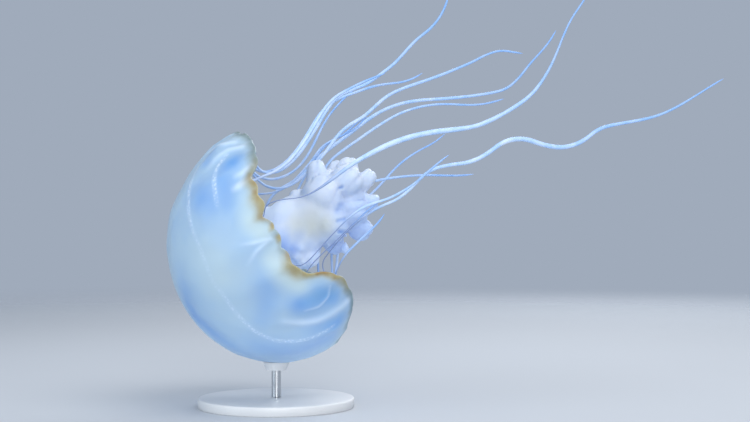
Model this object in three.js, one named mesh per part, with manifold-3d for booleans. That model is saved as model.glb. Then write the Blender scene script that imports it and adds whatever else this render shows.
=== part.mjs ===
// A jellyfish of the sea nettle kind, life size, swimming down and to the left,
// held up by a plain display stand. Lengths are millimetres and angles are degrees.
// The floor is z = 0, with the middle of the stand's base on the origin and +Z up.
// The bell opens towards +X and the tentacles trail that way; -Y is the near side.
//
// Two angles place a point of the bell: "down" runs from 0 at the crown to about 100
// at the margin, and "around" runs round the bell's axis from 0 at the top, by 90 on
// the near side, to 180 at the bottom.

import * as THREE from 'three';
import Module from 'manifold-3d';
import { mergeVertices } from 'three/addons/utils/BufferGeometryUtils.js';

// ---------------------------------------------------------------- driving dimensions

const gap = 0.3;                 // left between two pieces that meet

const bellRadius = 74;           // widest half width of the bell
const bellDepth = 69.5;          // from the crown to the widest ring
const bellPitch = 29.1;          // how far the opening looks up
const bellTurn = 5.25;           // how far the opening looks away to the far side
const bellLean = 0.08;           // sideways drift of the rings per mm of depth
const bellClearance = 28.6;      // from the floor to the bell's lowest point

const crownThickness = 11;       // jelly at the crown
const marginThickness = 1.8;     // jelly at the edge
const marginDown = 93.5;         // "down" angle of the margin between its lobes
const tentacleCleft = 4;         // how deep the margin is cut over a tentacle, in degrees
const lappetCleft = 1.5;         // the same between the two lappets of a pair
const pleatHeight = 0.012;       // of the sixteen pleats, as a share of the radius
const pleatStart = 45;           // "down" angle where the pleats begin
const pleatFull = 95;            // "down" angle where they are full

const tentacleCount = 16;
const tentaclePitch = 360 / tentacleCount;
const sectorCount = 8;
const sectorTrim = 0.2;          // degrees left off each side of a sector
const crownEdge = 38;            // "down" angle where the sectors start
const crownSteps = 5;

const trunkEndRadius = 21;       // manubrium, where the arms part
const trunkEnd = 74;             // depth along the axis where the four arms part

const baseRadius = 50;
const baseHeight = 6;
const baseBevel = 1;
const rodRadius = 3;
const saddleRadius = 9;
const saddleFootRadius = 6.3;
const saddleHeight = 5;
const roundSides = 40;           // sides of a round base
const slimSides = 20;            // sides of a rod

const skin = new THREE.MeshStandardMaterial({ color: 0xbfd3ea, roughness: 0.35, metalness: 0 });
const armSkin = new THREE.MeshStandardMaterial({ color: 0xe8e8e6, roughness: 0.5, metalness: 0 });
const threadSkin = new THREE.MeshStandardMaterial({ color: 0xb9cdea, roughness: 0.4, metalness: 0 });
const standPaint = new THREE.MeshStandardMaterial({ color: 0xd8d9da, roughness: 0.45, metalness: 0 });
const standSteel = new THREE.MeshStandardMaterial({ color: 0xb8bcc0, roughness: 0.3, metalness: 1 });

// ---------------------------------------------------------------- small helpers

const { sin, cos, exp, abs, min, max, pow, PI } = Math;
const radians = THREE.MathUtils.degToRad;
const mix = THREE.MathUtils.lerp;
const ease = THREE.MathUtils.smoothstep;

// Angle from b to a, the short way round.
function turnBetween(a, b) {
  return THREE.MathUtils.euclideanModulo(a - b + 180, 360) - 180;
}

function hump(angle, centre, width) {
  return exp(-pow(abs(turnBetween(angle, centre)) / width, 3));
}

// Value at share t of a list of evenly spaced values.
function along(values, t) {
  const place = min(max(t, 0), 1) * (values.length - 1);
  const index = min(Math.floor(place), values.length - 2);
  return mix(values[index], values[index + 1], place - index);
}

// Direction that rises from level +X by one angle and swings to the far side by another.
function heading(rise, swing) {
  return new THREE.Vector3(
    cos(radians(rise)) * cos(radians(swing)),
    sin(radians(swing)),
    sin(radians(rise)) * cos(radians(swing)));
}

// Closed solid through rings of points, each ring ordered clockwise as seen from the
// first ring, with a flat cap on both ends.
function loft(rings) {
  const sides = rings[0].length;
  const points = rings.flat();
  const faces = [];
  for (let ring = 0; ring < rings.length - 1; ring += 1) {
    for (let side = 0; side < sides; side += 1) {
      const next = (side + 1) % sides;
      const a = ring * sides + side;
      const b = ring * sides + next;
      faces.push([a, b, b + sides], [a, b + sides, a + sides]);
    }
  }
  const last = (rings.length - 1) * sides;
  for (let side = 1; side < sides - 1; side += 1) {
    faces.push([0, side + 1, side], [last, last + side, last + side + 1]);
  }
  return solidFrom(points, faces);
}

// Closed solid between an outer and an inner sheet of (columns x rows) points.
function slab(columns, rows, outerAt, innerAt) {
  const points = [];
  for (const pointAt of [outerAt, innerAt]) {
    for (let column = 0; column <= columns; column += 1) {
      for (let row = 0; row <= rows; row += 1) {
        points.push(pointAt(column / columns, row / rows));
      }
    }
  }
  const sheet = (columns + 1) * (rows + 1);
  const at = (column, row, inner) => column * (rows + 1) + row + (inner ? sheet : 0);
  const faces = [];
  const quad = (a, b, c, d) => faces.push([a, b, c], [a, c, d]);
  for (let column = 0; column < columns; column += 1) {
    for (let row = 0; row < rows; row += 1) {
      for (const inner of [false, true]) {
        const corners = [
          at(column, row, inner), at(column + 1, row, inner),
          at(column + 1, row + 1, inner), at(column, row + 1, inner)];
        quad(...(inner ? corners.reverse() : corners));
      }
    }
  }
  const rim = (from, to) => {
    quad(at(...from, false), at(...to, false), at(...to, true), at(...from, true));
  };
  for (let column = 0; column < columns; column += 1) {
    rim([column + 1, 0], [column, 0]);
    rim([column, rows], [column + 1, rows]);
  }
  for (let row = 0; row < rows; row += 1) {
    rim([0, row], [0, row + 1]);
    rim([columns, row + 1], [columns, row]);
  }
  return solidFrom(points, faces);
}

function solidFrom(points, faces) {
  const geometry = new THREE.BufferGeometry();
  const places = points.flatMap((point) => point.toArray());
  geometry.setAttribute('position', new THREE.Float32BufferAttribute(places, 3));
  geometry.setIndex(faces.flat());
  return geometry;
}

// ---------------------------------------------------------------- manifold-3d, to cut and join

const wasm = await Module();
wasm.setup();

function toSolid(geometry) {
  const bare = geometry.clone();
  bare.deleteAttribute('normal');
  bare.deleteAttribute('uv');
  const merged = mergeVertices(bare, 1e-4);
  return new wasm.Manifold(new wasm.Mesh({
    numProp: 3,
    vertProperties: new Float32Array(merged.attributes.position.array),
    triVerts: new Uint32Array(merged.index.array),
  }));
}

function toGeometry(solid) {
  const mesh = solid.getMesh();
  const geometry = new THREE.BufferGeometry();
  geometry.setAttribute('position', new THREE.BufferAttribute(mesh.vertProperties, 3));
  geometry.setIndex(new THREE.BufferAttribute(mesh.triVerts, 1));
  return geometry;
}

// ---------------------------------------------------------------- bell

const axis = heading(bellPitch, bellTurn);
const upward = new THREE.Vector3(-sin(radians(bellPitch)), 0, cos(radians(bellPitch)));
const nearward = new THREE.Vector3().crossVectors(axis, upward);
const crownPoint = new THREE.Vector3();

// Point from the bell's own axis: depth below the crown, distance up and towards us.
function fromAxis(depth, up, near) {
  return crownPoint.clone()
    .addScaledVector(axis, depth)
    .addScaledVector(upward, up + bellLean * depth)
    .addScaledVector(nearward, near);
}

// Lobes of the margin, each [middle, half width, extra "down" angle]. Four curl further
// in, and between two of them the near side is drawn back a little.
const marginLobes = [[28, 30, 12], [140, 27, 19.5], [105, 7, -2.5], [-26, 28, 8], [-134, 28, 13]];

// The margin is gathered low on the near side, where its clefts lie closer together.
// An "even" angle is a place's angle as it would be without that.
const gather = { middle: 125, width: 40, most: 12 };

function evenAngle(around) {
  return around + gather.most * hump(around, gather.middle, gather.width);
}

function gathered(even) {
  let around = even;
  for (let round = 0; round < 30; round += 1) {
    around = even - gather.most * hump(around, gather.middle, gather.width);
  }
  return around;
}

// "down" angle of the margin, with a deep cleft at each tentacle and a shallow one
// half way between, which leaves two lappets to each tentacle.
function marginAt(around) {
  let down = marginDown;
  for (const [middle, width, extra] of marginLobes) {
    down += extra * hump(around, middle, width);
  }
  const phase = THREE.MathUtils.euclideanModulo(evenAngle(around), tentaclePitch) / tentaclePitch;
  down -= tentacleCleft * exp(-pow((phase - 0.5) / 0.13, 2));
  down -= lappetCleft * exp(-pow((phase - Math.round(phase)) / 0.1, 2));
  return down;
}

function wallThickness(down) {
  return mix(marginThickness, crownThickness, pow(max(0, 1 - down / marginDown), 1.2));
}

// Point at some depth under the outer skin. Sixteen low pleats run down to the margin.
function bellPoint(down, around, depth = 0) {
  const sine = sin(radians(down));
  const cosine = cos(radians(down));
  const wave = cos(radians(evenAngle(around) * tentacleCount));
  const pleat = 1 + pleatHeight * wave * ease(down, pleatStart, pleatFull);
  const place = new THREE.Vector2(bellRadius * sine * pleat, bellDepth * (1 - cosine));
  const outward = new THREE.Vector2(bellDepth * sine, -bellRadius * cosine).normalize();
  place.addScaledVector(outward, -depth);
  return fromAxis(place.y, place.x * cos(radians(around)), place.x * sin(radians(around)));
}

// Place of the bell's lowest point, where its outer skin is level.
function lowestPlace() {
  const around = 180 + THREE.MathUtils.radToDeg(Math.atan2(nearward.z, upward.z));
  const sideSlope = Math.hypot(upward.z, nearward.z) * bellRadius;
  const depthSlope = (axis.z + bellLean * upward.z) * bellDepth;
  return { around, down: THREE.MathUtils.radToDeg(Math.atan2(sideSlope, depthSlope)) };
}

// The bell hangs with its lowest point over the middle of the base.
const lowest = lowestPlace();
crownPoint.sub(bellPoint(lowest.down, lowest.around));
crownPoint.z += bellClearance;

// One ring of points, clockwise as seen from the crown.
function ringOf(segments, pointAt) {
  return Array.from({ length: segments }, (_, segment) => pointAt(360 * segment / segments));
}

function bellCrown() {
  const segments = 32;
  const downs = Array.from({ length: crownSteps }, (_, step) => crownEdge * (step + 1) / crownSteps);
  const outer = downs.map((down) => ringOf(segments, (angle) => bellPoint(down, angle)));
  const inner = downs.map((down) => {
    return ringOf(segments, (angle) => bellPoint(down, angle, wallThickness(down)));
  });
  return loft([...outer, ...inner.reverse()]);
}

// One of eight sectors of the bell's skirt, each with two pairs of lappets.
function bellSector(index) {
  const columns = 8;
  const rows = 7;
  const span = 360 / sectorCount;
  const aroundAt = (u) => gathered(mix(index * span + sectorTrim, (index + 1) * span - sectorTrim, u));
  const downAt = (u, v) => mix(crownEdge + gap, marginAt(aroundAt(u)), v);
  return slab(columns, rows,
    (u, v) => bellPoint(downAt(u, v), aroundAt(u)),
    (u, v) => bellPoint(downAt(u, v), aroundAt(u), wallThickness(downAt(u, v))));
}

// ---------------------------------------------------------------- tentacles

// even: place on the margin, before it is gathered. length: along the tentacle.
// rises: slope up from level, at even steps from root to tip. swings: turn to the far
// side, likewise. girths: width, likewise.
const tentacles = [
  { even: 11.25, length: 154, girths: [1.3, 1.7, 1.9, 1.6, 1.1], swings: [-10, 4, 10, -6],
    rises: [-70, -72, -60, 4, 34, 48, 55, 60, 58, 46, 25, 20, 20, 10, 5, 20, 38] },
  { even: 33.75, length: 184, girths: [1.3, 1.8, 2.0, 1.9, 1.2], swings: [0, 6, -8, 8],
    rises: [-75, -75, -5, 32, 50, 56, 60, 60, 54, 24, 20, 36, 36, 48, 48, 36, 50, 66, 78] },
  { even: 56.25, length: 109, girths: [1.5, 1.9, 1.8, 1.1], swings: [0, 10, 4, -6],
    rises: [40, 18, 35, 50, 56, 60, 60, 50, 30, 26, 22, 18] },
  { even: 78.75, length: 270, girths: [1.1, 1.3, 2.2, 3.4, 3.3, 2.7, 2.4, 1.4, 1.1, 0.9],
    swings: [0, 4, 8, -4, -8],
    rises: [150, 18, 3, 30, 38, 36, 29, 25, 18, 11, 6, 9, 24, 30, 36, 54, 63, 70, 66, 54,
      64, 72] },
  { even: 101.25, length: 134, girths: [1.2, 1.5, 1.5, 1.0], swings: [16, 8, -6, -6, -8],
    rises: [-80, -75, -62, -20, 28, 48, 48, 48, 48, 47, 46, 43, 36, 28, 18, 16, 22, 29, 32, 36,
      42, 42, 40, 38, 36] },
  { even: 123.75, length: 66, girths: [1.1, 1.3, 0.9], swings: [6, 4, 4],
    rises: [80, 50, 44, 43, 44, 45, 44, 42, 38, 36] },
  { even: 146.25, length: 311, girths: [1.3, 1.5, 1.6, 1.8, 2.6, 3.0, 2.8, 2.0, 1.4, 1.0],
    swings: [4, 4, 8, 10, -4, -10],
    rises: [142, 148, 52, 49, 42, 35, 20, 42, 47, 15, 5, 26, 40, 8, -20, -9, 18, 42, 12, 9,
      14, 26, 32, 33, 30] },
  { even: 168.75, length: 88, girths: [1.3, 1.6, 1.1], swings: [-28, -28, -8, 0],
    rises: [114, 106, 96, 88, 74, 57, 44, 42, 45, 60] },
  { even: -168.75, length: 175, girths: [1.4, 1.7, 1.6, 1.0], swings: [38, 30, 4, 4, 0],
    rises: [84, 84, 84, 84, 84, 70, 44, 44, 50, 36, 26, 45] },
  { even: -146.25, length: 169, girths: [1.4, 1.8, 1.7, 1.1], swings: [0, 0, -6, -4],
    rises: [90, 90, 92, 92, 91, 86, 62, 28, 14, 10, 6, 2, -2, 0, 10] },
  { even: -123.75, length: 217, girths: [1.4, 1.8, 1.9, 1.6, 1.1], swings: [4, 4, 0, -6],
    rises: [92, 92, 91, 90, 89, 87, 84, 62, 38, 35, 35, 34, 30, 20, 12, 3, -4, 0, 12, 20] },
  { even: -101.25, length: 122, girths: [1.2, 1.6, 1.5, 1.0], swings: [-6, -8, 4],
    rises: [90, 95, 88, 78, 68, 62, 60, 57, 44, 20, 36, 58] },
  { even: -78.75, length: 264, girths: [1.3, 1.9, 2.4, 2.5, 2.4, 2.2, 1.9, 1.5, 1.1],
    swings: [8, 6, 0, -6, 4],
    rises: [95, 92, 55, 27, 36, 50, 41, 36, 38, 38, 29, 19, 9, 3, 4, 6, 8, 12, 42, 54,
      46, 52, 64] },
  { even: -56.25, length: 102, girths: [1.2, 1.5, 1.4, 1.0], swings: [-6, -6, 4],
    rises: [0, 0, 10, 30, 44, 48, 50, 57, 32, 22, 44, 42, 8] },
  { even: -33.75, length: 226, girths: [1.4, 1.8, 2.2, 2.4, 2.2, 1.6, 1.2], swings: [0, 5, -6, 5],
    rises: [-58, -58, -35, 0, 30, 44, 47, 52, 56, 40, 28, 43, 42, 26, 19, 18, 20, 22, 23,
      29, 18, -10, -6] },
  { even: -11.25, length: 118, girths: [1.3, 1.7, 1.6, 1.0], swings: [4, -4, 6],
    rises: [-60, -62, -60, -15, 15, 33, 52, 62, 65, 60, 50, 45, 35] },
];

const stepLength = 8.5;          // at most, from one ring to the next
const fineSteps = 8;             // to each step
const rootRun = 6;               // a tentacle leaves in line with the bell over this length
const rootClear = 1.3;           // from the wall to the middle of the tentacle's root
const tentacleSides = 5;

// A tentacle springs from the inner side of the margin, in the cleft between two lappets.
function rootOf(even) {
  const around = gathered(even);
  const down = marginAt(around) - 1;
  const surface = bellPoint(down, around, wallThickness(down));
  const inward = bellPoint(down, around, wallThickness(down) + 1).sub(surface);
  const onward = bellPoint(down + 1, around, wallThickness(down)).sub(surface).normalize();
  const leave = inward.clone().multiplyScalar(0.6).add(onward).normalize();
  return { start: surface.addScaledVector(inward, rootClear), leave };
}

// Evenly spaced points from root to tip, with the direction at each.
function centreLine(tentacle) {
  const { start, leave } = rootOf(tentacle.even);
  const steps = 2 * Math.ceil(tentacle.length / stepLength / 2);
  const stride = tentacle.length / (steps * fineSteps);
  const place = start.clone();
  const line = [];
  for (let count = 0; count <= steps * fineSteps; count += 1) {
    const share = count / (steps * fineSteps);
    const wanted = heading(along(tentacle.rises, share), along(tentacle.swings, share));
    const lead = ease(share * tentacle.length, 0, rootRun);
    const direction = leave.clone().lerp(wanted, lead).normalize();
    if (count % fineSteps === 0) {
      line.push({ place: place.clone(), direction, share });
    }
    place.addScaledVector(direction, stride);
  }
  return line;
}

// Ring of points round a place, square to a direction that isn't +Y.
function ringAcross(centre, direction, radius) {
  const side = new THREE.Vector3(0, 1, 0).addScaledVector(direction, -direction.y).normalize();
  const over = new THREE.Vector3().crossVectors(direction, side);
  return Array.from({ length: tentacleSides }, (_, count) => {
    const angle = radians(360 * count / tentacleSides);
    return centre.clone()
      .addScaledVector(side, radius * cos(angle))
      .addScaledVector(over, radius * sin(angle));
  });
}

// The inner (0) or outer (1) half of a tentacle's length, with a gap between the two.
function tentacleLength(tentacle, line, half) {
  const steps = (line.length - 1) / 2;
  const from = half * steps;
  const rings = [];
  for (let step = from; step <= from + steps; step += 1) {
    const { place, direction, share } = line[step];
    const centre = place.clone();
    if (half === 1 && step === from) {
      centre.addScaledVector(direction, gap);
    }
    rings.push(ringAcross(centre, direction, along(tentacle.girths, share) / 2));
  }
  return loft(rings);
}

// ---------------------------------------------------------------- manubrium and oral arms

// The manubrium stands on the middle of the bell's inner face and widens to four corners.
const trunkCorners = 0.1;        // how far a corner stands out, as a share of the radius
const armParting = -1;           // height over the axis of the line where the arms part

function trunk() {
  const segments = 20;
  const steps = 5;
  const seats = [crownEdge / crownSteps, 2 * crownEdge / crownSteps];
  const rings = seats.map((down) => {
    return ringOf(segments, (angle) => bellPoint(down, angle, wallThickness(down) + gap));
  });
  const wall = wallThickness(seats[1]);
  const seatRadius = (bellRadius - wall) * sin(radians(seats[1]));
  const seatDepth = bellDepth * (1 - cos(radians(seats[1]))) + wall;
  for (let step = 1; step <= steps; step += 1) {
    const share = step / steps;
    const depth = mix(seatDepth, trunkEnd - gap, share);
    const radius = mix(seatRadius, trunkEndRadius, share);
    rings.push(ringOf(segments, (angle) => {
      const corner = radius * (1 + trunkCorners * share * cos(radians(4 * angle)));
      return fromAxis(depth, corner * cos(radians(angle)), corner * sin(radians(angle)));
    }));
  }
  return loft(rings);
}

// Frilled lobes of the four arms, each [depth below the crown, up, towards us, radius].
const armLobes = {
  near_upper: [
    [86, 8, 9, 14], [110, 9, 13, 13], [116, 22, 6, 8.3],
    [128, 8, 12, 11], [134, 14, 5, 7.6], [139, 3, 7, 8.3]],
  far_upper: [
    [86, 8, -9, 14], [96, 15, -6, 6.8], [112, 9, -13, 13],
    [126, 18, -5, 7.8], [130, 6, -12, 11]],
  near_lower: [
    [86, -9, 9, 14], [106, -9, 13, 13], [122, -10, 11, 11],
    [122, -22, 6, 8.3], [135, -10, 6, 7.8]],
  far_lower: [
    [86, -9, -9, 13], [84, -17, -6, 9.3], [105, -21, -6, 8.3],
    [107, -8, -13, 13], [124, -8, -11, 11]],
};

// An arm is its lobes, cut to the quarter of the space past the trunk that it fills.
function oralArm(name) {
  const upper = name.endsWith('upper') ? 1 : -1;
  const near = name.startsWith('near') ? 1 : -1;
  let solid = null;
  for (const [depth, up, towards, radius] of armLobes[name]) {
    const lobe = new THREE.IcosahedronGeometry(radius, 1);
    const { x, y, z } = fromAxis(depth, up, towards);
    lobe.translate(x, y, z);
    solid = solid ? solid.add(toSolid(lobe)) : toSolid(lobe);
  }
  const reach = 100;
  const quarter = new THREE.BoxGeometry(reach, reach, reach);
  quarter.applyMatrix4(new THREE.Matrix4().makeBasis(axis, upward, nearward));
  const { x, y, z } = fromAxis(trunkEnd + reach / 2, 0, 0)
    .addScaledVector(upward, armParting - bellLean * reach / 2 + upper * (reach / 2 + gap / 2))
    .addScaledVector(nearward, near * (reach / 2 + gap / 2));
  quarter.translate(x, y, z);
  return toGeometry(solid.intersect(toSolid(quarter)));
}

// ---------------------------------------------------------------- stand

function standBase() {
  const profile = [
    [0, 0], [baseRadius, 0], [baseRadius, baseHeight - baseBevel],
    [baseRadius - baseBevel, baseHeight], [0, baseHeight]];
  const points = profile.map(([radius, height]) => new THREE.Vector2(radius, height));
  return new THREE.LatheGeometry(points, roundSides).rotateX(PI / 2);
}

const saddleFoot = bellClearance - saddleHeight;

function standRod() {
  const height = saddleFoot - baseHeight - 2 * gap;
  return new THREE.CylinderGeometry(rodRadius, rodRadius, height, slimSides).rotateX(PI / 2)
    .translate(0, 0, baseHeight + gap + height / 2);
}

// A round pad, hollowed on top to the shape of the bell.
function standSaddle() {
  const height = saddleHeight + 1;
  const blank = new THREE.CylinderGeometry(saddleRadius, saddleFootRadius, height, slimSides)
    .rotateX(PI / 2)
    .translate(0, 0, saddleFoot + height / 2);
  const reach = 14;
  const deepest = 2;
  const cells = 9;
  const place = (u, v) => [lowest.down + mix(-reach, reach, v), lowest.around + mix(-reach, reach, u)];
  const bellThere = slab(cells, cells,
    (u, v) => bellPoint(...place(u, v), -gap),
    (u, v) => bellPoint(...place(u, v), deepest));
  return toGeometry(toSolid(blank).subtract(toSolid(bellThere)));
}

// ---------------------------------------------------------------- assembly

const group = new THREE.Group();

function add(name, geometry, material) {
  const mesh = new THREE.Mesh(geometry, material);
  mesh.name = name;
  group.add(mesh);
  return mesh;
}

add('bell_crown', bellCrown(), skin);
for (let index = 0; index < sectorCount; index += 1) {
  add(`bell_skirt_${index + 1}`, bellSector(index), skin);
}
add('manubrium', trunk(), armSkin);
for (const name of Object.keys(armLobes)) {
  add(`oral_arm_${name}`, oralArm(name), armSkin);
}
tentacles.forEach((tentacle, index) => {
  const line = centreLine(tentacle);
  add(`tentacle_${index + 1}_inner`, tentacleLength(tentacle, line, 0), threadSkin);
  add(`tentacle_${index + 1}_outer`, tentacleLength(tentacle, line, 1), threadSkin);
});
add('stand_base', standBase(), standPaint);
add('stand_rod', standRod(), standSteel);
add('stand_saddle', standSaddle(), standPaint);

export default group;
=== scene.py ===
"""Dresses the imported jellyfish: skins, materials, stand, floor, light and camera.

Lengths are in mm and angles in degrees, as in the part's source, until a mesh is made in
metres. Two angles place a point of the bell: "down" runs from 0 at the crown to about 100
at the margin, and "around" runs round the bell's axis from 0 at the top, by 90 on the near
side, to 180 at the bottom.
"""

import itertools
import math
import random

import bmesh
import bpy
import numpy as np
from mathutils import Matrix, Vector, noise


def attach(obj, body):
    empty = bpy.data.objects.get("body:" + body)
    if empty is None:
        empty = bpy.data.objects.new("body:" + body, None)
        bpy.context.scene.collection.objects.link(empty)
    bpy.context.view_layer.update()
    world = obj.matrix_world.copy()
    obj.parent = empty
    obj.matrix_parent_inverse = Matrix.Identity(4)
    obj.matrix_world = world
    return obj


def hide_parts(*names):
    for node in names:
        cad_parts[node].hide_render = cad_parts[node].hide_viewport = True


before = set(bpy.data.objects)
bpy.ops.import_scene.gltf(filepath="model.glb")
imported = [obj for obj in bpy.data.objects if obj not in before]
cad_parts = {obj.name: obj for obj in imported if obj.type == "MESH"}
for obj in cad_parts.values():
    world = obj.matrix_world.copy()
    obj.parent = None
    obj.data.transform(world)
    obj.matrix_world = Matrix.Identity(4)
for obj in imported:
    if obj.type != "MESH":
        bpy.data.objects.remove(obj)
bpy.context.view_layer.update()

MM = 0.001

# ---------- sizes kept from the part

BELL_RADIUS = 74
BELL_DEPTH = 69.5
BELL_PITCH = 29.1
BELL_TURN = 5.25
BELL_LEAN = 0.08
BELL_CLEARANCE = 28.6
CROWN_THICKNESS = 11
MARGIN_THICKNESS = 1.8
CROWN_EDGE = 38
CROWN_STEPS = 5
MARGIN_DOWN = 93.5
TENTACLE_COUNT = 16
TENTACLE_PITCH = 360 / TENTACLE_COUNT
PLEAT_HEIGHT = 0.012
PLEAT_START, PLEAT_FULL = 45, 95
TENTACLE_CLEFT, TENTACLE_CLEFT_WIDTH = 4, 0.13
LAPPET_CLEFT, LAPPET_CLEFT_WIDTH = 1.5, 0.1
# Swells and dips of the margin round the bell, as [middle, half width, height in degrees].
MARGIN_LOBES = [[28, 30, 12], [140, 27, 19.5], [105, 7, -2.5], [-26, 28, 8], [-134, 28, 13]]
GATHER_MIDDLE, GATHER_WIDTH, GATHER_MOST = 125, 40, 12
TRUNK_END = 74
TRUNK_END_RADIUS = 21
TRUNK_CORNERS = 0.1
STEP_LENGTH = 8.5
ROOT_RUN = 6
ROOT_CLEAR = 1.3
BASE_RADIUS = 50
BASE_HEIGHT = 6
ROD_RADIUS = 3

# Round lobes of the oral arms, as [depth, up, near, radius] from the bell's axis.
ARM_LOBES = {
    "near_upper": [
        [86, 8, 9, 14], [110, 9, 13, 13], [116, 22, 6, 8.3],
        [128, 8, 12, 11], [134, 14, 5, 7.6], [139, 3, 7, 8.3]],
    "far_upper": [
        [86, 8, -9, 14], [96, 15, -6, 6.8], [112, 9, -13, 13],
        [126, 18, -5, 7.8], [130, 6, -12, 11]],
    "near_lower": [
        [86, -9, 9, 14], [106, -9, 13, 13], [122, -10, 11, 11],
        [122, -22, 6, 8.3], [135, -10, 6, 7.8]],
    "far_lower": [
        [86, -9, -9, 13], [84, -17, -6, 9.3], [105, -21, -6, 8.3],
        [107, -8, -13, 13], [124, -8, -11, 11]],
}

# Round from the top, each as its length and three lists of values at even steps from root to
# tip: its width, its turn to the far side, and its slope up from level.
TENTACLES = [
    [154, [1.3, 1.7, 1.9, 1.6, 1.1], [-10, 4, 10, -6],
     [-70, -72, -60, 4, 34, 48, 55, 60, 58, 46, 25, 20, 20, 10, 5, 20, 38]],
    [184, [1.3, 1.8, 2, 1.9, 1.2], [0, 6, -8, 8],
     [-75, -75, -5, 32, 50, 56, 60, 60, 54, 24, 20, 36, 36, 48, 48, 36, 50, 66, 78]],
    [109, [1.5, 1.9, 1.8, 1.1], [0, 10, 4, -6],
     [40, 18, 35, 50, 56, 60, 60, 50, 30, 26, 22, 18]],
    [270, [1.1, 1.3, 2.2, 3.4, 3.3, 2.7, 2.4, 1.4, 1.1, 0.9], [0, 4, 8, -4, -8],
     [150, 18, 3, 30, 38, 36, 29, 25, 18, 11, 6, 9, 24, 30, 36, 54, 63, 70, 66, 54, 64, 72]],
    [134, [1.2, 1.5, 1.5, 1], [16, 8, -6, -6, -8],
     [-80, -75, -62, -20, 28, 48, 48, 48, 48, 47, 46, 43, 36, 28, 18, 16, 22, 29, 32, 36, 42, 42,
      40, 38, 36]],
    [66, [1.1, 1.3, 0.9], [6, 4, 4],
     [80, 50, 44, 43, 44, 45, 44, 42, 38, 36]],
    [311, [1.3, 1.5, 1.6, 1.8, 2.6, 3, 2.8, 2, 1.4, 1], [4, 4, 8, 10, -4, -10],
     [142, 148, 52, 49, 42, 35, 20, 42, 47, 15, 5, 26, 40, 8, -20, -9, 18, 42, 12, 9, 14, 26, 32,
      33, 30]],
    [88, [1.3, 1.6, 1.1], [-28, -28, -8, 0],
     [114, 106, 96, 88, 74, 57, 44, 42, 45, 60]],
    [175, [1.4, 1.7, 1.6, 1], [38, 30, 4, 4, 0],
     [84, 84, 84, 84, 84, 70, 44, 44, 50, 36, 26, 45]],
    [169, [1.4, 1.8, 1.7, 1.1], [0, 0, -6, -4],
     [90, 90, 92, 92, 91, 86, 62, 28, 14, 10, 6, 2, -2, 0, 10]],
    [217, [1.4, 1.8, 1.9, 1.6, 1.1], [4, 4, 0, -6],
     [92, 92, 91, 90, 89, 87, 84, 62, 38, 35, 35, 34, 30, 20, 12, 3, -4, 0, 12, 20]],
    [122, [1.2, 1.6, 1.5, 1], [-6, -8, 4],
     [90, 95, 88, 78, 68, 62, 60, 57, 44, 20, 36, 58]],
    [264, [1.3, 1.9, 2.4, 2.5, 2.4, 2.2, 1.9, 1.5, 1.1], [8, 6, 0, -6, 4],
     [95, 92, 55, 27, 36, 50, 41, 36, 38, 38, 29, 19, 9, 3, 4, 6, 8, 12, 42, 54, 46, 52, 64]],
    [102, [1.2, 1.5, 1.4, 1], [-6, -6, 4],
     [0, 0, 10, 30, 44, 48, 50, 57, 32, 22, 44, 42, 8]],
    [226, [1.4, 1.8, 2.2, 2.4, 2.2, 1.6, 1.2], [0, 5, -6, 5],
     [-58, -58, -35, 0, 30, 44, 47, 52, 56, 40, 28, 43, 42, 26, 19, 18, 20, 22, 23, 29, 18, -10,
      -6]],
    [118, [1.3, 1.7, 1.6, 1], [4, -4, 6],
     [-60, -62, -60, -15, 15, 33, 52, 62, 65, 60, 50, 45, 35]],
]

# ---------- sizes of the skins

BELL_COLUMNS = 512
BELL_OUTER_ROWS = 120
BELL_EDGE_ROWS = 8
BELL_INNER_ROWS = 50
ROW_CROWDING = 1.25         # above 1: rows lie closer towards the margin
LAPPETS_BEGIN = 0.82        # share of the way to the margin where the lappets begin
# Small lobes that the skin adds to the margin, as in MARGIN_LOBES.
SKIN_LOBES = [[16, 8, -1.0], [33, 5, 1.0], [50, 6, 0.8], [74, 4, 1.2], [120, 9, 1.7],
              [152, 9, -2.8], [167, 5, 2.4]]
# Depth of the skin's cleft at each tentacle, round from the top, and the width of such
# clefts and of the notches between them, as shares of a tentacle's pitch.
SKIN_CLEFTS = [1.2, 1.6, 4.0, 4.2, 2.6, 2.8, 1.2, 2.6, 2.0, 3.2, 2.4, 3.6, 3.0, 3.8, 2.2, 1.6]
SKIN_CLEFT_WIDTH, SKIN_NOTCH_WIDTH = 0.17, 0.12
SKIN_NOTCH_SHARE = 0.28     # a notch's depth, as a share of its neighbour's cleft
# Unevenness of the jelly, as [height, size, seed] of each layer of noise.
BELL_SWELLS = [[0.55, 24, 3.1], [0.25, 9, 8.4]]
BELL_FOLD_HEIGHT = 0.35
BELL_CURL_HEIGHT = 0.4
WHITE_RISE, BLUE_DIP = 0.7, 0.9
# Flat stretch along the bell's top: its middle and half length in "down", its middle and
# half width in "around", and its depth.
FLAT_DOWN, FLAT_REACH = 67, 20
FLAT_AROUND, FLAT_WIDTH = 3, 24
FLAT_DEPTH = 2.0

# Width of the margin's coloured band, and its swells as in MARGIN_LOBES, but in mm.
BAND_WIDTH = 4.8
BAND_LOBES = [[76, 30, 3.2], [108, 10, 2.5], [25, 16, 1.0], [88, 10.5, -4.4]]
# Where the band is faint and grey, and the brown spots in it, as [middle, half width].
FAINT_STRETCH = [88, 10.5]
BROWN_SPOTS = [[83.5, 1.7], [89.5, 2.0]]

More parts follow.
